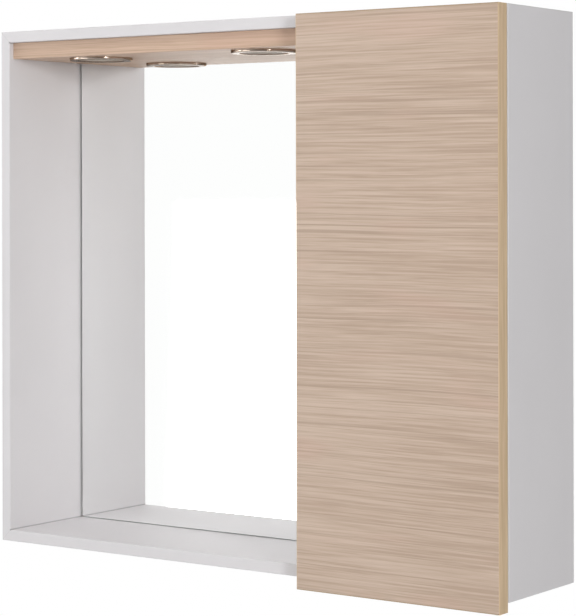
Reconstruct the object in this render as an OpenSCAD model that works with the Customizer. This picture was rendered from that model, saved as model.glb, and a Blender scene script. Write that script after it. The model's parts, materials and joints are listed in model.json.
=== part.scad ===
// Bathroom mirror cabinet: an open mirror niche under a light pelmet on the left,
// and a cupboard with one full-overlay door on concealed hinges on the right.
// X runs to the right, Y towards the wall and Z up. The wall is the plane Y = 0,
// and the origin lies midway between the entry holes of the two hanger plates.

/* [Case] */
// Outer width of the case
case_w = 800; // [700:1:1200]
// Outer height of the case
case_h = 700; // [560:1:900]
// Outer depth of the case, from the wall to its front edges
case_d = 160; // [150:1:220]
// Thickness of the case boards and the divider
board_t = 15; // [15:0.5:19]
// Inner width of the mirror niche
niche_w = 497; // [420:1:560]
// Thickness of the back panel
back_t = 4; // [3:0.5:6]
// Radius of the boards' front arrises
arris = 1; // [0.5:0.1:2]
// Width of the rebate that holds the back panel
rebate_w = 6; // [5:0.5:7]
// Distance between the wall and the back panel
back_inset = 3; // [3:0.5:8]

/* [Mirror] */
// Thickness of the mirror glass
mirror_t = 5; // [3:0.5:6]
// Thickness of the mounting tape behind the mirror
tape_t = 1; // [0.8:0.1:2]
// Width of one strip of mounting tape
tape_w = 25; // [15:1:40]
// Gap between the mirror and each side of the niche
mirror_gap = 3; // [1:0.5:5]
// Gap between the mirror and the bottom panel
mirror_foot = 0.5; // [0.5:0.5:4]

/* [Pelmet] */
// Thickness of the pelmet board
pelmet_t = 22; // [20:0.5:28]
// Distance of the pelmet's face behind the front edges of the case
pelmet_setback = 8; // [2:1:20]
// Thickness of the band on the pelmet's front edge
band_t = 1; // [0.5:0.1:2]
// Depth of the lead groove in the pelmet's upper face
groove_d = 5; // [4:0.5:6]
// Width of the lead groove
groove_w = 12; // [11:0.5:14]
// Distance of the lead groove behind the spotlights' centres
groove_back = 48; // [46:1:50]

/* [Spotlights] */
// Distance between the two spotlights
spot_spacing = 276; // [200:1:320]
// Distance of the spotlights' centres behind the front edges of the case
spot_depth = 64; // [60:1:72]
// Outer diameter of the chrome ring
spot_d = 86; // [80:1:92]
// Height of the ring below the pelmet
spot_h = 4; // [4:0.5:9]
// Diameter of the hole that takes the housing
spot_bore = 69; // [66:1:70]
// Wall thickness of the housing
housing_wall = 1.5; // [1:0.1:2]
// Diameter of the visible lens
lens_d = 63; // [58:1:64]
// Thickness of the lens
lens_t = 1.5; // [1.2:0.1:1.8]

/* [Driver] */
// Length of the light driver
driver_l = 96; // [80:1:110]
// Width of the light driver
driver_w = 36; // [30:1:42]
// Height of the light driver
driver_h = 20; // [17:1:24]
// Length of the terminal block on the driver
terminal_l = 18; // [12:1:24]

/* [Door] */
// Thickness of the door
door_t = 20; // [18:0.5:22]
// Gap between the door and the front edges of the case
door_gap = 2; // [1.8:0.1:2.6]
// Distance that the door hangs below the case, as a finger pull
door_drop = 11; // [0:1:25]
// Thickness of the door's edge bands
door_band_t = 1; // [0.5:0.1:2]

/* [Hinges] */
// Distance of each hinge from the end of the case
hinge_inset = 95; // [80:1:130]
// Diameter of the hinge cup
cup_d = 35; // [35:0.1:35.4]
// Depth of the hinge cup in the door
cup_depth = 11.5; // [11:0.1:12]
// Distance between the door's edge and the rim of the cup
cup_edge = 5; // [4.8:0.1:5.2]
// Distance between the two screws of a cup
cup_screw_spacing = 52; // [50:1:56]
// Distance between the two screws of a mounting plate
plate_screw_spacing = 32; // [28:1:40]
// Distance of the mounting plate's screws behind the front edge
plate_depth = 37; // [36:0.5:40]

/* [Shelves] */
// Thickness of the glass shelves
shelf_t = 5; // [4:0.5:8]
// Depth of the shelves
shelf_d = 125; // [100:1:130]
// Height of the lower shelf above the cupboard's floor
lower_shelf_h = 215; // [180:1:230]
// Height of the upper shelf above the cupboard's floor
upper_shelf_h = 435; // [400:1:445]
// Diameter of the shelf pins
shelf_pin_d = 5; // [4:0.5:6]

/* [Hanging] */
// Distance of the hanger holes below the top of the case
hang_drop = 40; // [34:1:60]
// Distance of the hanger holes from the sides of the case
hang_inset = 20; // [18:1:24]
// Thickness of the hanger plates, let in flush with the back edges
hanger_t = 1.5; // [1:0.1:2]
// Diameter of a hanger's entry hole
keyhole_d = 9; // [8:0.5:10]
// Width of a hanger's slot
keyhole_slot_w = 5; // [4:0.5:5.5]
// Diameter of the cable hole through the grommet
cable_d = 10; // [6:0.5:12]
// Height of the cable hole above the cupboard's floor
cable_h = 585; // [480:1:590]

/* [Hidden] */

$fn = 48;

// Clearance round fixed pins, screws and dowels in their holes
fit = 0.05;
// Running clearance round a turning pin
run = 0.05;
// Overshoot of a cut beyond the face that it opens
over = 1;

// Planes of the case
case_top = hang_drop;
case_bottom = case_top - case_h;
case_left = -case_w / 2;
case_right = case_w / 2;
case_front = -case_d;
inner_left = case_left + board_t;
inner_right = case_right - board_t;
inner_top = case_top - board_t;
inner_bottom = case_bottom + board_t;
inner_h = inner_top - inner_bottom;
divider_left = inner_left + niche_w;
divider_right = divider_left + board_t;

// Layers from the wall forwards
back_rear = -back_inset;
back_front = back_rear - back_t;
mirror_rear = back_front - tape_t;
mirror_front = mirror_rear - mirror_t;
mirror_head = 2;

// Dowels
dowel_d = 8;
dowel_in_board = 10;
dowel_in_end = 20;
divider_dowel_inset = 45;
divider_dowel_step = 41;

// Pelmet and spotlights
pelmet_bottom = inner_top - pelmet_t;
pelmet_front = case_front + pelmet_setback;
pelmet_mirror_gap = 0.5;
pelmet_back = mirror_front - pelmet_mirror_gap;
spot_y = case_front + spot_depth;
niche_mid = (inner_left + divider_left) / 2;
left_spot_x = niche_mid - spot_spacing / 2;
right_spot_x = niche_mid + spot_spacing / 2;
groove_bottom = inner_top - groove_d;
groove_y = spot_y + groove_back;
housing_r = spot_bore / 2 - 0.5;
housing_h = pelmet_t - groove_d;
flange_r = spot_bore / 2 + 6;
flange_t = 1.2;
housing_screw_r = spot_bore / 2 + 3.2;
lens_gap = 0.1;
ring_lip = 1.2;
ring_lip_t = 0.6;
led_board_t = 1.6;
gland_w = 8;
gland_h = 3.2;
lead_w = 4.6;
lead_t = 2.3;
lead_gap = 0.6;

// Driver, under the top panel in the cupboard
driver_left = divider_right + 14;
driver_right = driver_left + driver_l;
driver_y = groove_y;
driver_ear = 9;
driver_base_t = 2;

// Cable entry
grommet_flange_t = 1;
grommet_groove_r = cable_d / 2 + 3;
grommet_flange_r = grommet_groove_r + 2.5;
cable_x = driver_right + 39;
cable_z = inner_bottom + cable_h;

// Door
door_left = divider_left;
door_right = case_right;
door_top = case_top;
door_bottom = case_bottom - door_drop;
door_back = case_front - door_gap;
door_front = door_back - door_t;
bumper_r = 4;
bumper_inset = 40;
bumper_clear = 0.1;

// Hinges: each pivot is placed from the board that carries it. Pivots A and C sit on the
// arm, B and D in the cup. A and B carry the inner link, C and D the outer one.
upper_hinge_z = case_top - hinge_inset;
lower_hinge_z = case_bottom + hinge_inset;
pivot_a = [inner_right - 18.6, case_front + 12.8];
pivot_c = [inner_right - 20.2, case_front - 7.9];
pivot_b = [door_right - 9.6, door_back - 3.2];
pivot_d = [door_right - 15, door_back - 5.8];
cup_mid = [door_right - cup_edge - cup_d / 2, door_back];
cup_flange_t = 1.2;
cup_wall = 0.75;
cup_floor_t = 0.8;
cup_mouth_depth = 1.5;
cup_mouth_back = 0.7;
cup_slot = 7.2;
cup_screw_shift = 5.5;
// Layers of a hinge, as distances from its middle plane
inner_link_z = 2.9;
nose_z = [3.3, 4.8];
outer_link_z = [5.2, 6.5];
arm_z = [6.6, 8.0];
arm_pin_r = 1.5;
cup_pin_r = 1.25;
nose_pin_r = 1.1;
open_pin_r = 1;
// The open pivot D has play, because the links turn at constant ratios
open_play = 2.1;
open_eye_wall = 0.7;
link_t = 2.5;
outer_link_w = 3.2;
arm_web = 1.5;
arm_back = case_front + 68;
hinge_reach = 20;
rail_h = 11;
rail_z = 6.2;
plate_t = 2.5;

// Shelves
shelf_gap = 1;
shelf_back = back_front - 3;
lower_shelf_z = inner_bottom + lower_shelf_h;
upper_shelf_z = inner_bottom + upper_shelf_h;
shelf_pin_in = 9;
shelf_pin_out = 7;
shelf_pin_y = [shelf_back - 20, shelf_back - shelf_d + 20];
shelf_hole_step = 32;

// Hanger plates
hanger_margin = 2;
hanger_w = hang_inset + 16;
hanger_h = hang_drop + 26;
hanger_screw_in = 5.5;
hanger_chamfer = 12;
keyhole_rise = 9;

// Colours
pale_grey = [0.86, 0.86, 0.87];
oak = [0.80, 0.69, 0.59];
oak_edge = [0.79, 0.69, 0.56];
steel = [0.75, 0.76, 0.78];
chrome = [0.85, 0.86, 0.88];
zinc = [0.62, 0.63, 0.65];
beech = [0.80, 0.68, 0.52];

// A block between two corners
module block(low, high) {
  translate(low)
    cube(high - low);
}

// A plan outline (X, Y) raised from z0 to z1
module raise(z0, z1) {
  translate([0, 0, z0])
    linear_extrude(z1 - z0)
      children();
}

// The same plan outline on both sides of a hinge's middle plane
module raise_both(layer) {
  raise(layer[0], layer[1])
    children();
  raise(-layer[1], -layer[0])
    children();
}

// A front outline (X, Z) carried from y1 forwards to y0
module carry(y0, y1) {
  translate([0, y1, 0])
    rotate([90, 0, 0])
      linear_extrude(y1 - y0)
        children();
}

// A straight bar with round ends between two points of the plan
module bar(p, q, r) {
  d = q - p;
  translate(p)
    circle(r);
  translate(q)
    circle(r);
  translate(p)
    rotate(atan2(d[1], d[0]))
      translate([0, -r])
        square([norm(d), 2 * r]);
}

// A rectangle with round corners between two points of the plan
module rounded(low, high, r) {
  translate([low[0] + r, low[1]])
    square([high[0] - low[0] - 2 * r, high[1] - low[1]]);
  translate([low[0], low[1] + r])
    square([high[0] - low[0], high[1] - low[1] - 2 * r]);
  for (x = [low[0] + r, high[0] - r])
    for (y = [low[1] + r, high[1] - r])
      translate([x, y])
        circle(r);
}

// Plan outline of a board whose front edge has rounded arrises
module board_outline(x0, x1, y0, y1, r) {
  translate([x0, y0 + r])
    square([x1 - x0, y1 - y0 - r]);
  translate([x0 + r, y0])
    square([x1 - x0 - 2 * r, 2 * r]);
  for (x = [x0 + r, x1 - r])
    translate([x, y0 + r])
      circle(r);
}

// An upright board, and a level one between the heights z0 and z1
module upright_board(x0, x1, z0, z1, y0, y1, r) {
  raise(z0, z1)
    board_outline(x0, x1, y0, y1, r);
}

module level_board(x0, x1, z0, z1, y0, y1, r) {
  translate([x0, 0, 0])
    rotate([90, 0, 90])
      linear_extrude(x1 - x0)
        mirror([1, -1])
          board_outline(z0, z1, y0, y1, r);
}

// A rod along X, Y or Z between two coordinates
module rod_x(x0, x1, y, z, r) {
  translate([x0, y, z])
    rotate([0, 90, 0])
      cylinder(h = x1 - x0, r = r);
}

module rod_y(x, y0, y1, z, r) {
  translate([x, y1, z])
    rotate([90, 0, 0])
      cylinder(h = y1 - y0, r = r);
}

module rod_z(p, z0, z1, r) {
  translate([p[0], p[1], z0])
    cylinder(h = z1 - z0, r = r);
}

// A countersunk screw: head outwards at the origin, shank along -Z
module countersunk(head_r, shank_r, length) {
  rotate_extrude()
    polygon([
      [0, 0], [head_r, 0], [shank_r, shank_r - head_r], [shank_r, 1.5 * shank_r - length],
      [0, -length]
    ]);
}

// The hole that a countersunk screw fills
module countersunk_hole(head_r, shank_r, length) {
  rotate_extrude()
    polygon([
      [0, over], [head_r + fit, over], [head_r + fit, 0],
      [shank_r + fit, shank_r - head_r], [shank_r + fit, -length - fit], [0, -length - fit]
    ]);
}

// Cut for the back panel, round the back of the case
module back_rebate() {
  block(
    [inner_left - rebate_w, back_front, inner_bottom - rebate_w],
    [inner_right + rebate_w, over, inner_top + rebate_w]
  );
}

// Places of the nails that hold the back panel
nail_r = 0.8;
nail_head_r = 2.2;
nail_head_t = 0.8;
nail_l = 16;
nail_inset = 3;
nail_xs = [for (i = [1 : 5]) case_left + i * case_w / 6];
nail_zs = [for (i = [1 : 4]) case_bottom + i * case_h / 5];

module at_level_nails(z) {
  for (x = nail_xs)
    translate([x, back_rear, z])
      rotate([-90, 0, 0])
        children();
}

module at_upright_nails(x) {
  for (z = nail_zs)
    translate([x, back_rear, z])
      rotate([-90, 0, 0])
        children();
}

module nail() {
  translate([0, 0, -nail_l])
    cylinder(h = nail_l, r = nail_r);
  cylinder(h = nail_head_t, r = nail_head_r);
}

module nail_hole() {
  translate([0, 0, -nail_l - fit])
    cylinder(h = nail_l + over, r = nail_r + fit);
}

nail_top_z = inner_top + nail_inset;
nail_bottom_z = inner_bottom - nail_inset;
nail_left_x = inner_left - nail_inset;
nail_right_x = inner_right + nail_inset;
nail_divider_x = (divider_left + divider_right) / 2;

// Outline (X, Z) of the left hanger plate
module hanger_outline() {
  x0 = case_left + hanger_margin;
  x1 = x0 + hanger_w;
  z0 = case_top - hanger_margin - hanger_h;
  z1 = case_top - hanger_margin;
  polygon([
    [x0, z0], [x1 - hanger_chamfer, z0], [x1, z0 + hanger_chamfer],
    [x1, z1], [x0, z1]
  ]);
}

// Places of a left hanger plate's screws
module at_hanger_screws() {
  x = case_left + hanger_screw_in;
  z = case_top - hanger_screw_in;
  for (p = [[x, z - 12], [x, z - hanger_h + 10], [x + hanger_w - 8, z]])
    translate([p[0], 0, p[1]])
      rotate([-90, 0, 0])
        children();
}

hanger_head_r = 2.8;
hanger_shank_r = 1.5;
hanger_screw_l = 16;

// What a left hanger plate and its screws cut from the case
module hanger_cuts() {
  carry(-hanger_t, over)
    hanger_outline();
  at_hanger_screws()
    countersunk_hole(hanger_head_r, hanger_shank_r, hanger_screw_l);
}

module both_hanger_cuts() {
  hanger_cuts();
  mirror([1, 0, 0])
    hanger_cuts();
}

// Places of the shelf pins on a cupboard wall, as [y, z] pairs
pin_rows = [
  for (shelf_z = [lower_shelf_z, upper_shelf_z])
    for (y = shelf_pin_y)
      [y, shelf_z - shelf_pin_d / 2]
];

// Bored holes for the pins, with one spare hole above and below each
module shelf_holes(x0, x1) {
  for (p = pin_rows)
    for (step = [-shelf_hole_step, 0, shelf_hole_step])
      rod_x(x0, x1, p[0], p[1] + step, shelf_pin_d / 2 + fit);
}

module left_side_panel() {
  color(pale_grey)
    difference() {
      intersection() {
        carry(case_front, 0)
          polygon([
            [case_left, case_bottom], [inner_left, inner_bottom],
            [inner_left, inner_top], [case_left, case_top]
          ]);
        upright_board(case_left, inner_left, case_bottom, case_top, case_front, 0, arris);
      }
      back_rebate();
      hanger_cuts();
      at_upright_nails(nail_left_x)
        nail_hole();
      pelmet_dowel_holes();
    }
}

module right_side_panel() {
  color(pale_grey)
    difference() {
      intersection() {
        carry(case_front, 0)
          polygon([
            [case_right, case_bottom], [case_right, case_top],
            [inner_right, inner_top], [inner_right, inner_bottom]
          ]);
        upright_board(inner_right, case_right, case_bottom, case_top, case_front, 0, arris);
      }
      back_rebate();
      mirror([1, 0, 0])
        hanger_cuts();
      at_upright_nails(nail_right_x)
        nail_hole();
      shelf_holes(inner_right - over, inner_right + shelf_pin_in + 1);
      at_plate_screws()
        countersunk_hole(plate_head_r, plate_shank_r, plate_screw_l);
    }
}

module top_panel() {
  color(pale_grey)
    difference() {
      intersection() {
        carry(case_front, 0)
          polygon([
            [case_left, case_top], [inner_left, inner_top],
            [inner_right, inner_top], [case_right, case_top]
          ]);
        level_board(case_left, case_right, inner_top, case_top, case_front, 0, arris);
      }
      back_rebate();
      both_hanger_cuts();
      at_level_nails(nail_top_z)
        nail_hole();
      divider_dowel_holes();
      driver_screw_holes();
    }
}

module bottom_panel() {
  color(pale_grey)
    difference() {
      intersection() {
        carry(case_front, 0)
          polygon([
            [case_left, case_bottom], [case_right, case_bottom],
            [inner_right, inner_bottom], [inner_left, inner_bottom]
          ]);
        level_board(case_left, case_right, case_bottom, inner_bottom, case_front, 0, arris);
      }
      back_rebate();
      at_level_nails(nail_bottom_z)
        nail_hole();
      divider_dowel_holes();
    }
}

// The divider stands between the boards, with a notch for the lamp leads
module divider_panel() {
  color(pale_grey)
    difference() {
      upright_board(divider_left, divider_right, inner_bottom, inner_top, case_front, back_front, arris);
      block(
        [divider_left - over, groove_y - groove_w / 2, groove_bottom],
        [divider_right + over, groove_y + groove_w / 2, inner_top + over]
      );
      at_upright_nails(nail_divider_x)
        nail_hole();
      shelf_holes(divider_right - shelf_pin_in - 1, divider_right + over);
      divider_dowel_holes();
      pelmet_dowel_holes();
    }
}

module back_panel() {
  play = 0.5;
  color("white")
    difference() {
      block(
        [inner_left - rebate_w + play, back_front, inner_bottom - rebate_w + play],
        [inner_right + rebate_w - play, back_rear, inner_top + rebate_w - play]
      );
      keyhole_relief();
      mirror([1, 0, 0])
        keyhole_relief();
      rod_y(cable_x, back_front - over, back_rear + over, cable_z, grommet_groove_r);
      all_nails()
        nail_hole();
    }
}

// Room behind a keyhole for the head of the wall screw
module keyhole_relief() {
  x = case_left + hang_inset;
  carry(back_front - over, back_rear + over)
    bar([x, -2], [x, keyhole_rise + 2], keyhole_d / 2 + 1.5);
}

module all_nails() {
  at_level_nails(nail_top_z)
    children();
  at_level_nails(nail_bottom_z)
    children();
  at_upright_nails(nail_left_x)
    children();
  at_upright_nails(nail_right_x)
    children();
  at_upright_nails(nail_divider_x)
    children();
}

module back_panel_nails() {
  color(steel)
    all_nails()
      nail();
}

// Dowels between the divider and the boards above and below it
divider_dowel_ys = [
  for (i = [0, 1])
    case_front + divider_dowel_inset + i * divider_dowel_step
];

module divider_dowel_rods(grow) {
  p = (divider_left + divider_right) / 2;
  for (y = divider_dowel_ys) {
    rod_z([p, y], inner_top - dowel_in_end, inner_top + dowel_in_board + grow, dowel_d / 2 + grow);
    rod_z([p, y], inner_bottom - dowel_in_board - grow, inner_bottom + dowel_in_end,
      dowel_d / 2 + grow);
  }
}

module divider_dowels() {
  color(beech)
    divider_dowel_rods(0);
}

module divider_dowel_holes() {
  divider_dowel_rods(fit);
}

// Mirror glass with ground edges, on the bottom panel and behind the pelmet
// Section of the mirror from a to b across, with its front edges ground off
module ground_pane(a, b) {
  ground = 0.6;
  polygon([
    [a, mirror_rear], [b, mirror_rear], [b, mirror_front + ground],
    [b - ground, mirror_front], [a + ground, mirror_front], [a, mirror_front + ground]
  ]);
}

module mirror_glass() {
  left = inner_left + mirror_gap;
  right = divider_left - mirror_gap;
  bottom = inner_bottom + mirror_foot;
  top = inner_top - mirror_head;
  color([0.80, 0.85, 0.87])
    intersection() {
      raise(bottom, top)
        ground_pane(left, right);
      translate([left, 0, 0])
        rotate([90, 0, 90])
          linear_extrude(right - left)
            mirror([1, -1])
              ground_pane(bottom, top);
    }
}

module mirror_tape() {
  reach = niche_w - 2 * mirror_gap - tape_w - 40;
  color("dimgray")
    for (i = [0 : 3])
      translate([niche_mid - tape_w / 2 - reach / 2 + i * reach / 3, mirror_rear, inner_bottom + 30])
        cube([tape_w, tape_t, inner_h - 62]);
}

// Pelmet board with a bore for each housing and a groove for the leads
module pelmet_board() {
  color(oak)
    difference() {
      block(
        [inner_left, pelmet_front + band_t, pelmet_bottom],
        [divider_left, pelmet_back, inner_top]
      );
      for (x = [left_spot_x, right_spot_x]) {
        rod_z([x, spot_y], pelmet_bottom - over, inner_top + over, spot_bore / 2);
        block(
          [x - lead_w / 2 - lead_gap, spot_y, groove_bottom],
          [x + lead_w / 2 + lead_gap, groove_y, inner_top + over]
        );
        at_housing_screws(x)
          countersunk_hole(housing_head_r, housing_shank_r, housing_screw_l);
      }
      block(
        [left_spot_x - lead_w / 2 - lead_gap, groove_y - groove_w / 2, groove_bottom],
        [divider_left + over, groove_y + groove_w / 2, inner_top + over]
      );
      pelmet_dowel_holes();
    }
}

module pelmet_front_band() {
  color(oak)
    intersection() {
      block(
        [inner_left, pelmet_front, pelmet_bottom],
        [divider_left, pelmet_front + band_t, inner_top]
      );
      level_board(inner_left, divider_left, pelmet_bottom, inner_top, pelmet_front, pelmet_back,
        0.8 * band_t);
    }
}

// Dowels that carry the pelmet between the side panel and the divider
pelmet_dowel_ys = [pelmet_front + 16, pelmet_back - 12];
pelmet_dowel_z = (pelmet_bottom + groove_bottom) / 2;

module pelmet_dowel_rods(grow) {
  for (y = pelmet_dowel_ys) {
    rod_x(inner_left - dowel_in_board - grow, inner_left + dowel_in_end, y, pelmet_dowel_z,
      dowel_d / 2 + grow);
    rod_x(divider_left - dowel_in_end, divider_left + dowel_in_board + grow, y, pelmet_dowel_z,
      dowel_d / 2 + grow);
  }
}

module pelmet_dowels() {
  color(beech)
    pelmet_dowel_rods(0);
}

module pelmet_dowel_holes() {
  pelmet_dowel_rods(fit);
}

// A turned form about the axis of a spotlight, its profile measured from the pelmet's face
module spot_turned(x) {
  translate([x, spot_y, pelmet_bottom])
    rotate_extrude($fn = 96)
      children();
}

housing_head_r = 2.2;
housing_shank_r = 1.2;
housing_screw_l = 11;

module at_housing_screws(x) {
  for (a = [45, 225])
    translate([x + housing_screw_r * cos(a), spot_y + housing_screw_r * sin(a),
        pelmet_bottom - flange_t])
      rotate([180, 0, 0])
        children();
}

// Housing: a shallow cup with a flange under the pelmet and a gland for the lead
module spot_housing(x) {
  color(steel)
    difference() {
      union() {
        spot_turned(x)
          polygon([
            [housing_r - housing_wall, -flange_t], [flange_r, -flange_t], [flange_r, 0],
            [housing_r, 0], [housing_r, housing_h], [0, housing_h],
            [0, housing_h - housing_wall],
            [housing_r - housing_wall, housing_h - housing_wall]
          ]);
        block(
          [x - gland_w / 2, spot_y + 6, pelmet_bottom + housing_h],
          [x + gland_w / 2, spot_y + 6 + gland_w, pelmet_bottom + housing_h + gland_h]
        );
      }
      at_housing_screws(x)
        countersunk_hole(housing_head_r, housing_shank_r, housing_screw_l);
      for (a = [-60 : 24 : 60])
        rotate_about(x, spot_y, a - 90)
          block(
            [x + housing_r - 12, spot_y - 1.2, pelmet_bottom + housing_h - housing_wall - over],
            [x + housing_r - 5, spot_y + 1.2, pelmet_bottom + housing_h + over]
          );
    }
}

// Turn children about a vertical axis through a point of the plan
module rotate_about(x, y, a) {
  translate([x, y, 0])
    rotate(a)
      translate([-x, -y, 0])
        children();
}

module spot_housing_screws() {
  color(steel)
    for (x = [left_spot_x, right_spot_x])
      at_housing_screws(x)
        countersunk(housing_head_r, housing_shank_r, housing_screw_l);
}

// Round board with two rings of light-emitting chips, against the housing's floor
module spot_led_board(x) {
  board_r = housing_r - housing_wall - 1;
  face = pelmet_bottom + housing_h - housing_wall - led_board_t;
  color([0.93, 0.93, 0.88]) {
    rod_z([x, spot_y], face, face + led_board_t, board_r);
    for (ring = [[10, 6], [22, 12]])
      for (i = [0 : ring[1] - 1])
        rotate_about(x, spot_y, 360 * i / ring[1])
          block(
            [x + ring[0] - 1.75, spot_y - 1.75, face - 0.8],
            [x + ring[0] + 1.75, spot_y + 1.75, face + 0.2]
          );
  }
}

// Lens: a disc with a rounded rim that rests on the ring's lip
module spot_lens(x) {
  r = lens_d / 2 + ring_lip - lens_gap;
  top = -flange_t - lens_gap;
  color([0.95, 0.94, 0.90])
    spot_turned(x)
      polygon([
        [0, top], [r, top], [r, top - lens_t], [lens_d / 2 - 0.2, top - lens_t],
        [lens_d / 2 - 1.5, top - lens_t - 0.6], [0, top - lens_t - 0.6]
      ]);
}

// Ring: a turned bezel with a rounded outer edge, a flat face and a bevel to the lens
module spot_ring(x) {
  r = spot_d / 2;
  lip = lens_d / 2;
  seat = -flange_t - lens_t - 2 * lens_gap;
  edge = spot_h * 0.45;
  arc = [
    for (a = [0 : 15 : 90])
      [r - edge + edge * cos(a), -spot_h + edge - edge * sin(a)]
  ];
  color(chrome)
    spot_turned(x)
      polygon(concat(
        [[flange_r + 0.3, 0], [r, 0]],
        arc,
        [
          [lip + 2.4, -spot_h], [lip, seat - ring_lip_t], [lip, seat],
          [lip + ring_lip, seat], [lip + ring_lip, -flange_t - lens_gap],
          [flange_r + 0.3, -flange_t - lens_gap]
        ]
      ));
}

// Flat two-core lead in the groove, from the housing's gland to the driver
module spot_lead(x, lane) {
  z0 = groove_bottom + 0.2;
  start_y = spot_y + 6 + gland_w;
  lane_y = groove_y + lane * (lead_w + lead_gap) / 2;
  bend = lead_w;
  color("white")
    raise(z0, z0 + lead_t)
      difference() {
        union() {
          translate([x - lead_w / 2, start_y])
            square([lead_w, lane_y - bend - start_y + lead_w / 2]);
          translate([x + bend - lead_w / 2, lane_y - lead_w / 2])
            square([driver_left + driver_ear + 4 - x - bend + lead_w / 2, lead_w]);
          translate([x + bend - lead_w / 2, lane_y + lead_w / 2 - bend])
            circle(bend);
        }
        translate([x + bend - lead_w / 2 + 0.001, lane_y - lead_w / 2 - 2 * bend])
          square([bend + 1, 2 * bend]);
        translate([x + lead_w / 2, lane_y - lead_w / 2 - 2 * bend])
          square([2 * bend, 2 * bend]);
      }
}

driver_head_r = 3;
driver_shank_r = 1.6;
driver_screw_l = 13;

module at_driver_screws() {
  for (x = [driver_left + driver_ear / 2, driver_right - driver_ear / 2])
    translate([x, driver_y, inner_top - driver_base_t])
      rotate([180, 0, 0])
        children();
}

module driver_screw_holes() {
  at_driver_screws()
    countersunk_hole(driver_head_r, driver_shank_r, driver_screw_l);
}

// Base of the driver: a tray with an ear at each end
module driver_base() {
  color([0.92, 0.92, 0.92])
    difference() {
      block(
        [driver_left, driver_y - driver_w / 2, inner_top - driver_base_t],
        [driver_right, driver_y + driver_w / 2, inner_top]
      );
      driver_screw_holes();
      for (x = [driver_left, driver_right])
        for (side = [-1, 1])
          translate([x, driver_y + side * driver_w / 2, inner_top - driver_base_t - over])
            cylinder(h = driver_base_t + 2 * over, r = driver_ear - 3);
    }
}

// Cover of the driver: a shell with a row of vent slots in its face
module driver_cover() {
  x0 = driver_left + driver_ear;
  x1 = driver_right - driver_ear;
  z0 = inner_top - driver_h;
  z1 = inner_top - driver_base_t;
  wall = 1.5;
  color([0.95, 0.95, 0.95])
    difference() {
      raise(z0, z1)
        rounded([x0, driver_y - driver_w / 2], [x1, driver_y + driver_w / 2], 3);
      block(
        [x0 + wall, driver_y - driver_w / 2 + wall, z0 + wall],
        [x1 - wall, driver_y + driver_w / 2 - wall, z1 + over]
      );
      for (x = [x0 + 12 : 6 : x1 - 24])
        block([x, driver_y - driver_w / 4, z0 - over], [x + 2, driver_y + driver_w / 4, z0 + wall + over]);
      for (lane = [-1, 1])
        block(
          [x0 - over, driver_y + lane * (lead_w + lead_gap) / 2 - lead_w / 2 - 0.2, groove_bottom],
          [x0 + wall + over, driver_y + lane * (lead_w + lead_gap) / 2 + lead_w / 2 + 0.2,
            groove_bottom + lead_t + 0.4]
        );
    }
}

// Terminals for the supply, on the cover's face
module driver_terminals() {
  pitch = 8;
  x1 = driver_right - driver_ear - 3;
  z1 = inner_top - driver_h;
  color([0.25, 0.25, 0.27])
    difference() {
      block([x1 - terminal_l, driver_y - 1.5 * pitch, z1 - 9], [x1, driver_y + 1.5 * pitch, z1]);
      for (i = [-1 : 1]) {
        rod_x(x1 - 7, x1 + over, driver_y + i * pitch, z1 - 5, 2);
        rod_z([x1 - terminal_l / 2, driver_y + i * pitch], z1 - 9 - over, z1 - 4, 2);
      }
    }
}

module driver_screws() {
  color(steel)
    at_driver_screws()
      countersunk(driver_head_r, driver_shank_r, driver_screw_l);
}

// Rubber grommet that lines the cable hole in the back panel
module cable_grommet() {
  rise = grommet_flange_t;
  color([0.22, 0.22, 0.23])
    translate([cable_x, back_front, cable_z])
      rotate([-90, 0, 0])
        rotate_extrude()
          polygon([
            [cable_d / 2, -rise - 1], [grommet_flange_r - 1, -rise - 1],
            [grommet_flange_r, -rise], [grommet_flange_r, 0], [grommet_groove_r, 0],
            [grommet_groove_r, back_t], [grommet_flange_r, back_t],
            [grommet_flange_r, back_t + rise], [cable_d / 2, back_t + rise]
          ]);
}

// Hinge parts are drawn about the middle plane z = 0 and lifted to each hinge
plate_head_r = 4;
plate_shank_r = 2;
plate_screw_l = 13;
plate_y = case_front + plate_depth;

module at_plate_screws() {
  for (z = [upper_hinge_z, lower_hinge_z])
    for (side = [-1, 1])
      translate([inner_right - plate_t, plate_y, z + side * plate_screw_spacing / 2])
        rotate([0, -90, 0])
          children();
}

// Mounting plate: two screw wings and a rail that carries the arm
module hinge_plate(z) {
  wing = plate_screw_spacing / 2;
  web_x = inner_right - rail_h;
  color(zinc)
    difference() {
      translate([0, 0, z]) {
        translate([inner_right, plate_y, 0])
          rotate([0, -90, 0])
            linear_extrude(plate_t)
              bar([-wing, 0], [wing, 0], 7.5);
        block([web_x, plate_y - 14, -rail_z], [inner_right, arm_back - 4, rail_z]);
      }
      at_plate_screws()
        countersunk_hole(plate_head_r, plate_shank_r, plate_screw_l);
      at_arm_screws(z)
        cylinder(h = 3 * hinge_reach, r = arm_screw_r + fit, center = true);
    }
}

module hinge_plate_screws() {
  color(steel)
    at_plate_screws()
      countersunk(plate_head_r, plate_shank_r, plate_screw_l);
}

// Side outline (X, Y) of the arm's body, a channel that closes down to its back end
arm_face = pivot_a[0] - 5.2;
arm_body = [
  [arm_face, case_front + 2.5], [arm_face, plate_y - 8], [inner_right - rail_h - arm_web, plate_y + 6],
  [inner_right - rail_h - arm_web, arm_back - 2], [inner_right - rail_h - arm_web + 2, arm_back],
  [inner_right - 6, arm_back], [inner_right - 4, arm_back - 2], [inner_right - 4, plate_y - 15],
  [inner_right - 9, plate_y - 19], [pivot_a[0] + 5, case_front + 2.5]
];
arm_screw_r = 2;
arm_screw_ys = [plate_y - 11.6, arm_back - 10];

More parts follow.
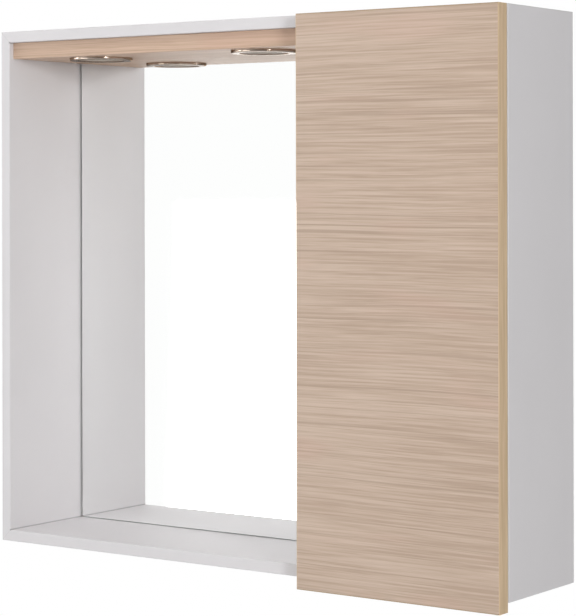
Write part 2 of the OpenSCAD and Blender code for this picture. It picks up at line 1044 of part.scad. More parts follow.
module at_arm_screws(z) {
  for (y = arm_screw_ys)
    translate([inner_right - rail_h - arm_web, y, z])
      rotate([0, 90, 0])
        children();
}

// Nose of the arm: two cheeks, joined by a web, that reach into the cup
module hinge_nose(r_nose) {
  bar(pivot_a, pivot_c, r_nose);
  polygon([
    [arm_face, case_front + 14], [arm_face, case_front + 1], [pivot_c[0] - r_nose, case_front - 2],
    [pivot_c[0] - r_nose, pivot_c[1]], [pivot_c[0], pivot_c[1]], [pivot_a[0] + 4, pivot_a[1]],
    [pivot_a[0] + 4, case_front + 14]
  ]);
}

module hinge_arm(z) {
  color(steel)
    translate([0, 0, z])
      difference() {
        union() {
          difference() {
            raise(-arm_z[1], arm_z[1])
              polygon(arm_body);
            raise(-arm_z[0], arm_z[0])
              translate([arm_web, 0])
                polygon(arm_body);
            block(
              [arm_face + arm_web, case_front - 1, -arm_z[0]],
              [inner_right, plate_y - 12, arm_z[0]]
            );
          }
          raise_both(nose_z)
            hinge_nose(2.4);
          for (side = [-1, 1])
            block(
              [arm_face, case_front + 12.5, side > 0 ? nose_z[0] : -arm_z[1]],
              [pivot_a[0] + 4, case_front + 14, side > 0 ? arm_z[1] : -nose_z[0]]
            );
          block([arm_face, case_front + 2.5, -arm_z[1]], [arm_face + arm_web, case_front + 14, arm_z[1]]);
        }
        rod_z(pivot_a, -hinge_reach, hinge_reach, arm_pin_r + fit);
        rod_z(pivot_c, -hinge_reach, hinge_reach, nose_pin_r + run);
        for (y = arm_screw_ys)
          rod_x(arm_face - over, inner_right, y, 0, arm_screw_r + fit);
      }
}

// Adjusting screws through the arm's web into the rail, with cross slots
module hinge_adjusting_screws() {
  head_t = 1.6;
  head_r = 3.4;
  color(zinc)
    for (z = [upper_hinge_z, lower_hinge_z])
      for (y = arm_screw_ys)
        translate([arm_web_x(y), y, z])
          difference() {
            union() {
              rod_x(0, inner_right - plate_t - 1 - arm_web_x(y), 0, 0, arm_screw_r);
              rod_x(-head_t, 0, 0, 0, head_r);
            }
            cross_recess(head_t);
          }
}

// Cross recess in a head of the given height, cut from its outer face
module cross_recess(head_t) {
  depth = 0.9;
  arm = 2.4;
  slot = 0.4;
  for (half = [[slot, arm], [arm, slot]])
    block(
      [-head_t - over, -half[0], -half[1]],
      [depth - head_t, half[0], half[1]]
    );
}

// Outer face of the arm's web at a place along it
function arm_web_x(y) =
  let (
    y0 = plate_y - 8,
    y1 = plate_y + 6,
    x1 = inner_right - rail_h - arm_web
  )
  y <= y0 ? arm_face : y >= y1 ? x1 : arm_face + (x1 - arm_face) * (y - y0) / (y1 - y0);

// Pins A, riveted in the arms' cheeks
module hinge_arm_pins() {
  color(steel)
    for (z = [upper_hinge_z, lower_hinge_z])
      rod_z(pivot_a, z - arm_z[1] - 0.4, z + arm_z[1] + 0.4, arm_pin_r);
}

// Inner link: a hooked plate that clears the edge of the case and the rim of the cup
link_knee = pivot_a + [8.6, -13.4];
link_hook = pivot_b + [-6.2, -3.2];

module inner_link(z) {
  color(zinc)
    translate([0, 0, z])
      difference() {
        raise(-inner_link_z, inner_link_z) {
          bar(pivot_a, link_knee, link_t / 2);
          bar(link_knee, link_hook, link_t / 2);
          bar(link_hook, pivot_b, link_t / 2);
          translate(pivot_a)
            circle(arm_pin_r + 1.5);
          translate(pivot_b)
            circle(cup_pin_r + 1.2);
        }
        rod_z(pivot_a, -hinge_reach, hinge_reach, arm_pin_r + run);
        rod_z(pivot_b, -hinge_reach, hinge_reach, cup_pin_r + run);
      }
}

// Outer link: two plates beside the nose, riveted to pin C, with a wide eye round pin D
module outer_link(z) {
  eye_r = open_pin_r + open_play;
  color(steel)
    translate([0, 0, z])
      difference() {
        raise_both(outer_link_z) {
          bar(pivot_c, pivot_d, outer_link_w / 2);
          translate(pivot_c)
            circle(2);
          translate(pivot_d)
            circle(eye_r + open_eye_wall);
        }
        rod_z(pivot_c, -hinge_reach, hinge_reach, nose_pin_r + fit);
        rod_z(pivot_d, -hinge_reach, hinge_reach, eye_r);
      }
}

module outer_link_pins() {
  color(steel)
    for (z = [upper_hinge_z, lower_hinge_z])
      rod_z(pivot_c, z - outer_link_z[1], z + outer_link_z[1], nose_pin_r);
}

// Cup: a round bowl in the door with a screwed flange, a slot for the links,
// and two cheeks on its floor that carry pin B
module hinge_cup(z) {
  r = cup_d / 2 - fit;
  wing = cup_screw_spacing / 2;
  wing_x = cup_mid[0] - cup_screw_shift;
  floor_y = door_back - cup_depth + cup_floor_t;
  color(steel)
    difference() {
      translate([0, 0, z])
        union() {
          difference() {
            union() {
              rod_y(cup_mid[0], door_back - cup_depth, door_back, 0, r);
              carry(door_back, door_back + cup_flange_t)
                hull() {
                  translate([cup_mid[0], 0])
                    circle(cup_d / 2 + 1.2, $fn = 64);
                  for (side = [-1, 1])
                    translate([wing_x, side * wing])
                      circle(6.5, $fn = 32);
                }
            }
            intersection() {
              rod_y(cup_mid[0], floor_y, door_back + over + cup_flange_t, 0, r - cup_wall);
              block(
                [cup_mid[0] - cup_d, floor_y, -cup_slot],
                [cup_mid[0] + cup_d, door_back + over + cup_flange_t, cup_slot]
              );
            }
            block(
              [cup_mid[0], door_back - cup_mouth_depth, -cup_slot],
              [cup_mid[0] + cup_d / 2 - cup_mouth_back, door_back + over + cup_flange_t, cup_slot]
            );
          }
          intersection() {
            rod_y(cup_mid[0], floor_y - 0.5, door_back, 0, r - 0.1);
            raise_both(nose_z) {
              translate(pivot_b)
                circle(2.6);
              translate([pivot_b[0] - 2.6, floor_y - 0.5])
                square([6, pivot_b[1] - floor_y + 0.5]);
            }
          }
        }
      translate([0, 0, z]) {
        rod_z(pivot_b, -nose_z[1] - over, nose_z[1] + over, cup_pin_r + fit);
        for (side = [-1, 1])
          rod_z(pivot_d, side > 0 ? cup_slot - over : -open_pin_l, side > 0 ? open_pin_l : over - cup_slot,
            open_pin_r + fit);
      }
      at_cup_screws(z)
        countersunk_hole(cup_head_r, cup_shank_r, cup_screw_l);
    }
}

open_pin_l = 12;
open_pin_z = 5;

// Pins B across the cheeks, and the two stubs D of each cup
module hinge_cup_pins() {
  color(steel)
    for (z = [upper_hinge_z, lower_hinge_z]) {
      rod_z(pivot_b, z - nose_z[1], z + nose_z[1], cup_pin_r);
      rod_z(pivot_d, z + open_pin_z, z + open_pin_l, open_pin_r);
      rod_z(pivot_d, z - open_pin_l, z - open_pin_z, open_pin_r);
    }
}

cup_head_r = 3.4;
cup_shank_r = 1.7;
cup_screw_l = 14;

module at_cup_screws(z) {
  for (side = [-1, 1])
    translate([cup_mid[0] - cup_screw_shift, door_back + cup_flange_t, z + side * cup_screw_spacing / 2])
      rotate([-90, 0, 0])
        children();
}

module hinge_cup_screws() {
  color(steel)
    for (z = [upper_hinge_z, lower_hinge_z])
      at_cup_screws(z)
        countersunk(cup_head_r, cup_shank_r, cup_screw_l);
}

// Door board between its bands, bored for the cups
module door_panel() {
  color(oak)
    difference() {
      block(
        [door_left + door_band_t, door_front, door_bottom + door_band_t],
        [door_right - door_band_t, door_back, door_top - door_band_t]
      );
      for (z = [upper_hinge_z, lower_hinge_z]) {
        rod_y(cup_mid[0], door_back - cup_depth - 0.5, door_back + over, z, cup_d / 2);
        at_cup_screws(z)
          countersunk_hole(cup_head_r, cup_shank_r, cup_screw_l);
      }
    }
}

// Outline (X, Y) of a side band on the left, with its two outer corners rounded
module band_outline(x) {
  r = door_band_t * 0.8;
  translate([x + r, door_front])
    square([door_band_t - r, door_t]);
  translate([x, door_front + r])
    square([r, door_t - 2 * r]);
  for (y = [door_front + r, door_back - r])
    translate([x + r, y])
      circle(r);
}

module door_side_bands() {
  color(oak_edge) {
    raise(door_bottom, door_top)
      intersection() {
        band_outline(door_left);
        translate([door_left, door_front])
          square([door_band_t, door_t]);
      }
    translate([door_left + door_right, 0, 0])
      mirror([1, 0, 0])
        raise(door_bottom, door_top)
          intersection() {
            band_outline(door_left);
            translate([door_left, door_front])
              square([door_band_t, door_t]);
          }
  }
}

module door_end_bands() {
  color(oak_edge)
    for (z = [door_bottom, door_top - door_band_t])
      block(
        [door_left + door_band_t, door_front, z],
        [door_right - door_band_t, door_back, z + door_band_t]
      );
}

// Soft bumpers on the door's back, which meet the divider's front edge
module door_bumpers() {
  h = door_gap - bumper_clear;
  color([0.93, 0.95, 0.96])
    for (z = [case_bottom + bumper_inset, case_top - bumper_inset])
      translate([(divider_left + divider_right) / 2, door_back, z])
        rotate([-90, 0, 0])
          rotate_extrude()
            polygon([[0, 0], [bumper_r, 0], [bumper_r, h * 0.4], [bumper_r * 0.7, h], [0, h]]);
}

// Glass shelf with ground front corners
module shelf(z) {
  x0 = divider_right + shelf_gap;
  x1 = inner_right - shelf_gap;
  y0 = shelf_back - shelf_d;
  r = 4;
  color([0.75, 0.88, 0.85, 0.6])
    raise(z, z + shelf_t)
      union() {
        translate([x0, y0 + r])
          square([x1 - x0, shelf_d - r]);
        translate([x0 + r, y0])
          square([x1 - x0 - 2 * r, r]);
        for (x = [x0 + r, x1 - r])
          translate([x, y0 + r])
            circle(r);
      }
}

// Shelf pins: a shank in the wall, a collar and a peg under the glass
module shelf_pins() {
  color(steel)
    for (p = pin_rows) {
      shelf_pin(p[0], p[1], divider_right, 1);
      shelf_pin(p[0], p[1], inner_right, -1);
    }
}

module shelf_pin(y, z, wall_x, way) {
  translate([wall_x, y, z])
    rotate([0, way * 90, 0])
      rotate_extrude()
        polygon([
          [0, -shelf_pin_in], [shelf_pin_d / 2 - 0.4, -shelf_pin_in],
          [shelf_pin_d / 2, 0.4 - shelf_pin_in], [shelf_pin_d / 2, shelf_pin_out - 0.4],
          [shelf_pin_d / 2 - 0.4, shelf_pin_out], [0, shelf_pin_out]
        ]);
}

// Hanger plate: a corner plate with a keyhole, let in flush with the back edges
module hanger_plate() {
  x = case_left + hang_inset;
  difference() {
    carry(-hanger_t, 0)
      hanger_outline();
    rod_y(x, -hanger_t - over, over, 0, keyhole_d / 2);
    carry(-hanger_t - over, over)
      bar([x, 0], [x, keyhole_rise], keyhole_slot_w / 2);
    at_hanger_screws()
      countersunk_hole(hanger_head_r, hanger_shank_r, hanger_screw_l);
  }
}

module left_hanger_plate() {
  color(zinc)
    hanger_plate();
}

module right_hanger_plate() {
  color(zinc)
    mirror([1, 0, 0])
      hanger_plate();
}

module hanger_screws() {
  color(steel)
    for (side = [0, 1])
      mirror([side, 0, 0])
        at_hanger_screws()
          countersunk(hanger_head_r, hanger_shank_r, hanger_screw_l);
}

left_side_panel();
right_side_panel();
top_panel();
bottom_panel();
divider_panel();
back_panel();
divider_dowels();
back_panel_nails();
mirror_glass();
mirror_tape();
pelmet_board();
pelmet_front_band();
pelmet_dowels();
spot_housing(left_spot_x);  // left_spot_housing
spot_housing(right_spot_x);  // right_spot_housing
spot_housing_screws();
spot_led_board(left_spot_x);  // left_spot_led_board
spot_led_board(right_spot_x);  // right_spot_led_board
spot_lens(left_spot_x);  // left_spot_lens
spot_lens(right_spot_x);  // right_spot_lens
spot_ring(left_spot_x);  // left_spot_ring
spot_ring(right_spot_x);  // right_spot_ring
spot_lead(left_spot_x, 1);  // left_spot_lead
spot_lead(right_spot_x, -1);  // right_spot_lead
driver_base();
driver_cover();
driver_terminals();
driver_screws();
cable_grommet();
hinge_plate(upper_hinge_z);  // upper_hinge_plate
hinge_plate(lower_hinge_z);  // lower_hinge_plate
hinge_plate_screws();
hinge_arm(upper_hinge_z);  // upper_hinge_arm
hinge_arm(lower_hinge_z);  // lower_hinge_arm
hinge_adjusting_screws();
hinge_arm_pins();
inner_link(upper_hinge_z);  // upper_inner_link
inner_link(lower_hinge_z);  // lower_inner_link
outer_link(upper_hinge_z);  // upper_outer_link
outer_link(lower_hinge_z);  // lower_outer_link
outer_link_pins();
hinge_cup(upper_hinge_z);  // upper_hinge_cup
hinge_cup(lower_hinge_z);  // lower_hinge_cup
hinge_cup_pins();
hinge_cup_screws();
door_panel();
door_side_bands();
door_end_bands();
door_bumpers();
shelf(upper_shelf_z);  // upper_shelf
shelf(lower_shelf_z);  // lower_shelf
shelf_pins();
left_hanger_plate();
right_hanger_plate();
hanger_screws();
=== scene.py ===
"""The looks of a wall-hung mirror cabinet, laid over its CAD solids.

Lengths are metres in the part's own frame: X to the right, Y towards the wall, Z up,
with the origin between the two hanger holes on the wall.
"""

import json
import math

import bpy
import numpy as np
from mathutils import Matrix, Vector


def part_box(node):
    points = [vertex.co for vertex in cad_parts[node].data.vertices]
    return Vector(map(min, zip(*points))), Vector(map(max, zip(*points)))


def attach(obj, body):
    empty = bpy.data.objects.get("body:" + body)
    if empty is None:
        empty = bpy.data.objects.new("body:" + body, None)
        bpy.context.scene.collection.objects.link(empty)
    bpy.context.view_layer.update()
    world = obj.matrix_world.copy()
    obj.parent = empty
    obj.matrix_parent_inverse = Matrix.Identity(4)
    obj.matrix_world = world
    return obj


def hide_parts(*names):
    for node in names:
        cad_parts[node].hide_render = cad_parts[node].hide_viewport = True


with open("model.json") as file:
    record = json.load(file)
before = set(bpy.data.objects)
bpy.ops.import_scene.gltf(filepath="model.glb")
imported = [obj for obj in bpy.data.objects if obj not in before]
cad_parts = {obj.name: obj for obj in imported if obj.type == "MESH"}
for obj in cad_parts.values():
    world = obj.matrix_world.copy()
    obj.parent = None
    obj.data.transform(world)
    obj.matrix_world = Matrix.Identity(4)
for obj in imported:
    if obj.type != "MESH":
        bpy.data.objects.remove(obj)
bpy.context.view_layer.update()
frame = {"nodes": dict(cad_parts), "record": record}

# The lenses: the waves pressed into their faces, and the step from the face to the rim
LENS_RING_PITCH = 0.0032
LENS_RING_DEPTH = 0.00045
LENS_MIDDLE = 0.0004
LENS_FACE_INSET = 0.0026
LENS_STEP_INSET = 0.0013
LENS_STEP = 0.0006

# The studio: the floor's height, half its width, and where it fades into white paper
FLOOR_HEIGHT = -1.15
FLOOR_HALF = 9.0
PAPER_FROM = 1.2
PAPER_TO = 2.2
PAPER_LEAST = 0.3
WORLD_LIGHT = 0.15
BACKDROP_WHITE = (1.0, 1.0, 1.0, 1.0)


# Finishes

class Finish:
    """A Principled surface and short ways to wire a pattern into it."""

    def __init__(self, name, colour, roughness, metal=0.0, **sockets):
        self.material = bpy.data.materials.new(name)
        self.material.use_nodes = True
        self.tree = self.material.node_tree
        self.shader = self.tree.nodes["Principled BSDF"]
        self.shader.inputs["Base Color"].default_value = (*colour, 1.0)
        self.shader.inputs["Roughness"].default_value = roughness
        self.shader.inputs["Metallic"].default_value = metal
        for socket, value in sockets.items():
            self.shader.inputs[socket.replace("_", " ")].default_value = value
        self.coords = self.tree.nodes.new("ShaderNodeTexCoord")

    def wire(self, source, target):
        self.tree.links.new(source, target)
        return target

    def stretched(self, scale, turn=(0.0, 0.0, 0.0), shift=(0.0, 0.0, 0.0)):
        """Object coordinates multiplied by scale along each axis."""
        node = self.tree.nodes.new("ShaderNodeMapping")
        node.inputs["Scale"].default_value = scale
        node.inputs["Rotation"].default_value = turn
        node.inputs["Location"].default_value = shift
        self.wire(self.coords.outputs["Object"], node.inputs["Vector"])
        return node.outputs["Vector"]

    def noise(self, vector, scale=1.0, detail=3.0, rough=0.5, distort=0.0):
        node = self.tree.nodes.new("ShaderNodeTexNoise")
        node.inputs["Scale"].default_value = scale
        node.inputs["Detail"].default_value = detail
        node.inputs["Roughness"].default_value = rough
        node.inputs["Distortion"].default_value = distort
        self.wire(vector, node.inputs["Vector"])
        return node.outputs["Fac"]

    def maths(self, operation, a, b=0.0, c=0.0):
        node = self.tree.nodes.new("ShaderNodeMath")
        node.operation = operation
        for socket, value in zip(node.inputs, (a, b, c)):
            if isinstance(value, (int, float)):
                socket.default_value = value
            else:
                self.wire(value, socket)
        return node.outputs["Value"]

    def spread(self, value, low, high, to_low, to_high):
        """Maps low..high to to_low..to_high, held at the ends."""
        node = self.tree.nodes.new("ShaderNodeMapRange")
        for socket, number in zip(("From Min", "From Max", "To Min", "To Max"),
                                  (low, high, to_low, to_high)):
            node.inputs[socket].default_value = number
        self.wire(value, node.inputs["Value"])
        return node.outputs["Result"]

    def ramp(self, value, stops):
        """Colours along a value, given as (place, colour) pairs."""
        node = self.tree.nodes.new("ShaderNodeValToRGB")
        points = node.color_ramp.elements
        while len(points) < len(stops):
            points.new(0.5)
        for point, (place, colour) in zip(points, stops):
            point.position = place
            point.color = (*colour, 1.0)
        self.wire(value, node.inputs["Fac"])
        return node.outputs["Color"]

    def blend(self, share, a, b, mode="MIX"):
        node = self.tree.nodes.new("ShaderNodeMix")
        node.data_type = "RGBA"
        node.blend_type = mode
        for socket, value in ((node.inputs["Factor"], share), (node.inputs[6], a),
                              (node.inputs[7], b)):
            if isinstance(value, (int, float)):
                socket.default_value = value
            elif isinstance(value, tuple):
                socket.default_value = (*value, 1.0)
            else:
                self.wire(value, socket)
        return node.outputs[2]

    def bump(self, height, depth, strength=1.0):
        node = self.tree.nodes.new("ShaderNodeBump")
        node.inputs["Strength"].default_value = strength
        node.inputs["Distance"].default_value = depth
        self.wire(height, node.inputs["Height"])
        self.wire(node.outputs["Normal"], self.shader.inputs["Normal"])

    def split(self, output):
        """The three numbers of a texture coordinate, as a node with outputs X, Y and Z."""
        node = self.tree.nodes.new("ShaderNodeSeparateXYZ")
        self.wire(self.coords.outputs[output], node.inputs["Vector"])
        return node.outputs

    def facing(self, axis):
        """1 on faces square to the given axis of the part, 0 on the others."""
        size = self.maths("ABSOLUTE", self.split("Normal")[axis])
        return self.spread(size, 0.90, 0.98, 0.0, 1.0)

    def towards_wall(self):
        """1 on faces that look at the wall, 0 on the others."""
        return self.spread(self.split("Normal")["Y"], 0.90, 0.98, 0.0, 1.0)

    def colour(self, value):
        self.wire(value, self.shader.inputs["Base Color"])

    def gloss(self, value):
        self.wire(value, self.shader.inputs["Roughness"])

    def metal(self, value):
        self.wire(value, self.shader.inputs["Metallic"])


def chipboard(f):
    """Raw sawn chipboard: pale and brown chips a few millimetres long."""
    chips = f.noise(f.stretched((240.0, 420.0, 240.0)), detail=4.0, rough=0.7)
    return f.ramp(chips, [(0.30, (0.20, 0.125, 0.07)), (0.48, (0.42, 0.30, 0.185)),
                          (0.70, (0.60, 0.47, 0.32))])


def case_board(name, colour, roughness=0.42):
    """Satin decor with a fine pearl grain and a cloudy tone. A dark glue line within a
    millimetre of the inner corners of the case also carries painted shade, the contact shade
    of those corners, and a thin dark line marks the mitres on its front edges. The edges
    towards the wall are raw chipboard."""
    f = Finish(name, colour, roughness, Specular_IOR_Level=0.35)
    cloud = f.noise(f.stretched((6.0, 6.0, 4.0)), detail=4.0)
    darker = tuple(0.965 * c for c in colour)
    face = f.ramp(cloud, [(0.3, darker), (0.7, colour)])

    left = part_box("left_side_panel")
    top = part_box("top_panel")
    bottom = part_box("bottom_panel")
    half_width = -left[1][0]
    middle = (top[0][2] + bottom[1][2]) / 2
    half_height = (top[0][2] - bottom[1][2]) / 2
    place = f.split("Object")
    across = f.maths("SUBTRACT", f.maths("ABSOLUTE", place["X"]), half_width)
    upright = f.maths("ABSOLUTE", f.maths("SUBTRACT", place["Z"], middle))
    upright = f.maths("SUBTRACT", upright, half_height)
    corner = f.maths("MAXIMUM", f.maths("ABSOLUTE", across), f.maths("ABSOLUTE", upright))
    # Painted shade: the dark glue line in the inner corners also paints the contact shade
    # there
    glue_line_and_painted_shade = f.spread(corner, 0.0007, 0.0016, 0.50, 0.0)
    off_mitre = f.maths("ABSOLUTE", f.maths("SUBTRACT", across, upright))
    in_corner = f.spread(f.maths("MINIMUM", across, upright), 0.0, 0.0005, 0.0, 1.0)
    mitre_line = f.maths("MULTIPLY", f.spread(off_mitre, 0.0002, 0.0008, 0.14, 0.0), in_corner)
    seam_and_painted_shade = f.maths("MAXIMUM", glue_line_and_painted_shade, mitre_line)
    face = f.blend(seam_and_painted_shade, face, tuple(0.25 * c for c in colour))

    raw = f.towards_wall()
    f.colour(f.blend(raw, face, chipboard(f)))
    pearl = f.noise(f.stretched((1500.0, 1500.0, 1500.0)), detail=2.0)
    satin = f.spread(pearl, 0.3, 0.7, roughness - 0.04, roughness + 0.05)
    f.gloss(f.maths("MAXIMUM", satin, f.maths("MULTIPLY", raw, 0.9)))
    f.bump(pearl, 0.00004, 0.35)
    return f.material


def oak(name, light, middle, dark, rosy, along=(7.0, 7.0, 430.0), roughness=0.46,
        seed=0.0, thin_edge=0.0, all_round=False, upright=False):
    """Oak decor with its grain along X: fine straight streaks over broad soft bands, with
    short dark pores, a few stronger lines, and a tone that darkens towards +X. A band's
    thin edge, seen from the front, is darker by thin_edge. With all_round the grain is as
    fine on level faces as on upright ones, and with upright it runs along Z."""
    f = Finish(name, middle, roughness, Specular_IOR_Level=0.10)
    waver = f.noise(f.stretched((2.4, 2.4, 5.0), shift=(seed, 0.0, seed)), detail=1.0)
    sway = f.maths("MULTIPLY_ADD", waver, 0.010, -0.005)
    lift = f.tree.nodes.new("ShaderNodeCombineXYZ")
    f.wire(sway, lift.inputs["Z"])
    moved = f.tree.nodes.new("ShaderNodeVectorMath")
    moved.operation = "ADD"
    f.wire(f.coords.outputs["Object"], moved.inputs[0])
    f.wire(lift.outputs["Vector"], moved.inputs[1])

    def along_grain(scale):
        if all_round:
            scale = (scale[0], scale[2], scale[2])
        if upright:
            scale = (scale[2], scale[2], scale[0])
        node = f.tree.nodes.new("ShaderNodeVectorMath")
        node.operation = "MULTIPLY"
        f.wire(moved.outputs["Vector"], node.inputs[0])
        node.inputs[1].default_value = scale
        return node.outputs["Vector"]

    streaks = f.noise(along_grain(along), detail=3.0, rough=0.68)
    bands = f.noise(along_grain((2.5, 2.5, 30.0)), detail=3.0, rough=0.6)
    lines = f.noise(along_grain((1.1, 1.1, 250.0)), detail=2.0, rough=0.4)
    pores = f.noise(along_grain((22.0, 22.0, 1400.0)), detail=1.0)
    aside = f.spread(f.split("Object")["X"], 0.10, 0.42, 0.030, -0.050)
    fine = f.maths("MULTIPLY_ADD", bands, 0.22, f.maths("MULTIPLY", streaks, 0.78))
    tone = f.maths("ADD", fine, aside)
    wood = f.ramp(tone, [(0.38, dark), (0.50, middle), (0.62, light)])
    strong = f.spread(lines, 0.60, 0.70, 0.0, 0.72)
    wood = f.blend(strong, wood, tuple(0.90 * c for c in dark))
    flush = f.noise(along_grain((5.0, 5.0, 22.0)), detail=1.0)
    wood = f.blend(f.spread(flush, 0.58, 0.70, 0.0, 0.30), wood, rosy)
    shade = f.spread(pores, 0.60, 0.74, 0.0, 0.18)
    wood = f.blend(shade, wood, tuple(0.72 * c for c in dark))
    if thin_edge:
        shown_edge = f.maths("MULTIPLY", f.facing("Y"), thin_edge)
        wood = f.blend(shown_edge, wood, tuple(0.45 * c for c in dark))
    f.colour(wood)
    f.gloss(f.spread(streaks, 0.3, 0.7, roughness + 0.05, roughness - 0.05))
    relief = f.maths("SUBTRACT", streaks, f.maths("ADD", shade, strong))
    f.bump(relief, 0.00030, 0.45)
    return f.material


def beech(name):
    f = Finish(name, (0.55, 0.38, 0.22), 0.6)
    fleck = f.noise(f.stretched((200.0, 200.0, 30.0)), detail=3.0)
    f.colour(f.ramp(fleck, [(0.35, (0.46, 0.30, 0.16)), (0.65, (0.60, 0.43, 0.26))]))
    f.bump(fleck, 0.0001, 0.5)
    return f.material


def hardboard(name):
    """Hardboard, painted white towards the room and raw brown towards the wall, with the
    fleece of its fibres."""
    f = Finish(name, (0.70, 0.70, 0.68), 0.6)
    fibre = f.noise(f.stretched((400.0, 400.0, 400.0)), detail=5.0, rough=0.7)
    paint = f.ramp(fibre, [(0.35, (0.63, 0.63, 0.61)), (0.65, (0.72, 0.72, 0.70))])
    brown = f.ramp(fibre, [(0.35, (0.33, 0.21, 0.12)), (0.65, (0.48, 0.33, 0.205))])
    f.colour(f.blend(f.towards_wall(), paint, brown))
    f.bump(fibre, 0.0001, 0.5)
    return f.material


def plated(name, colour, roughness, grain=(900.0, 900.0, 900.0), bite=0.3, **sockets):
    """Plated metal with fine marks of its making."""
    f = Finish(name, colour, roughness, 1.0, **sockets)
    marks = f.noise(f.stretched(grain), detail=4.0, rough=0.6)
    smear = f.noise(f.stretched((60.0, 60.0, 60.0)), detail=3.0)
    f.colour(f.ramp(smear, [(0.3, tuple(0.93 * c for c in colour)), (0.7, colour)]))
    f.gloss(f.spread(marks, 0.3, 0.7, max(0.02, roughness - 0.06), roughness + 0.08))
    f.bump(marks, 0.00003, bite)
    return f.material


def moulded(name, colour, roughness, grain=700.0, **sockets):
    """Moulded plastic or rubber with a fine spark grain."""
    f = Finish(name, colour, roughness, **sockets)
    spark = f.noise(f.stretched((grain, grain, grain)), detail=2.0)
    f.colour(f.ramp(spark, [(0.3, tuple(0.93 * c for c in colour)), (0.7, colour)]))
    f.gloss(f.spread(spark, 0.3, 0.7, roughness - 0.04, roughness + 0.06))
    f.bump(spark, 0.00006, 0.4)
    return f.material


def silvered_glass(name):
    """A mirror from the front, green ground glass round its edges, and grey protective
    paint on its back. The ground edges at the sides are darker than at the foot: painted
    shade of the gap beside the side panels."""
    f = Finish(name, (0.93, 0.95, 0.945), 0.02, 1.0)
    broad = f.facing("Y")
    breath = f.noise(f.stretched((3.0, 3.0, 3.0)), detail=3.0)
    silver = f.ramp(breath, [(0.3, (0.975, 0.985, 0.98)), (0.7, (0.985, 0.99, 0.985))])
    grind = f.noise(f.stretched((1200.0, 1200.0, 1200.0)), detail=2.0)
    # Painted shade: the side edges of the glass are a darker copy of its foot edge
    side_rim_painted_shade = f.ramp(grind, [(0.3, (0.38, 0.44, 0.41)), (0.7, (0.46, 0.52, 0.49))])
    foot_rim = f.ramp(grind, [(0.3, (0.60, 0.66, 0.63)), (0.7, (0.68, 0.74, 0.71))])
    rim = f.blend(f.facing("Z"), side_rim_painted_shade, foot_rim)
    painted = f.towards_wall()
    glass = f.blend(broad, rim, silver)
    f.colour(f.blend(painted, glass, (0.16, 0.19, 0.185)))
    shiny = f.maths("SUBTRACT", broad, painted)
    f.metal(shiny)
    f.gloss(f.spread(shiny, 0.0, 1.0, 0.34, 0.015))
    return f.material


def shelf_glass(name):
    """Clear float glass, greener and ground where its edges show."""
    f = Finish(name, (0.96, 0.99, 0.98), 0.02, IOR=1.52, Transmission_Weight=1.0)
    broad = f.facing("Z")
    f.colour(f.blend(broad, (0.62, 0.86, 0.78), (0.96, 0.99, 0.98)))
    grind = f.noise(f.stretched((900.0, 900.0, 900.0)), detail=2.0)
    matt = f.spread(grind, 0.3, 0.7, 0.12, 0.25)
    f.gloss(f.maths("MULTIPLY_ADD", f.maths("SUBTRACT", 1.0, broad), matt, 0.01))
    return f.material


def frosted_lens(name):
    """Frosted glass in a dark brown that paints the reflections in its glass, paler in the
    middle of each lens, where the LED board stands close behind it, as a painted glow of that
    board, and darker in the valleys of the pressed rings as painted shade."""
    f = Finish(name, (0.36, 0.29, 0.24), 0.45, Specular_IOR_Level=0.12)
    left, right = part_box("left_spot_lens"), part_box("right_spot_lens")
    left_x, right_x = ((box[0][0] + box[1][0]) / 2 for box in (left, right))
    middle_y = (left[0][1] + left[1][1]) / 2
    radius = (left[1][0] - left[0][0]) / 2
    place = f.split("Object")
    between = f.maths("ABSOLUTE", f.maths("SUBTRACT", place["X"], (left_x + right_x) / 2))
    across = f.maths("SUBTRACT", between, (right_x - left_x) / 2)
    deep = f.maths("SUBTRACT", place["Y"], middle_y)
    squares = f.maths("ADD", f.maths("POWER", across, 2.0), f.maths("POWER", deep, 2.0))
    away = f.maths("SQRT", squares)
    rings = f.maths("COSINE", f.maths("MULTIPLY", away, 2.0 * math.pi / LENS_RING_PITCH))
    frost = f.noise(f.stretched((1300.0, 1300.0, 1300.0)), detail=2.0)
    f.bump(frost, 0.0001, 0.4)
    # Painted light: the brown paints the dark reflections in the glass, and the pale middle
    # paints the glow of the LED board behind it
    painted_board_glow = f.spread(away, 0.25 * radius, 0.80 * radius, 1.0, 0.0)
    glass = f.blend(painted_board_glow, (0.33, 0.265, 0.215), (0.52, 0.46, 0.39))
    # Painted shade: darker in the valleys of the pressed rings
    painted_groove_shade = f.spread(rings, 0.4, 1.0, 0.0, 0.35)
    f.colour(f.blend(painted_groove_shade, glass, (0.16, 0.125, 0.10)))
    f.gloss(f.spread(frost, 0.3, 0.7, 0.40, 0.55))
    return f.material


def led_board(name):
    """White board with yellow phosphor on the faces of its chips."""
    f = Finish(name, (0.75, 0.75, 0.72), 0.4)
    chip = f.spread(f.split("Object")["Z"], 0.01615, 0.01620, 1.0, 0.0)
    mask = f.noise(f.stretched((300.0, 300.0, 300.0)), detail=2.0)
    board = f.ramp(mask, [(0.3, (0.72, 0.72, 0.69)), (0.7, (0.78, 0.78, 0.75))])
    f.colour(f.blend(chip, board, (0.80, 0.62, 0.16)))
    return f.material


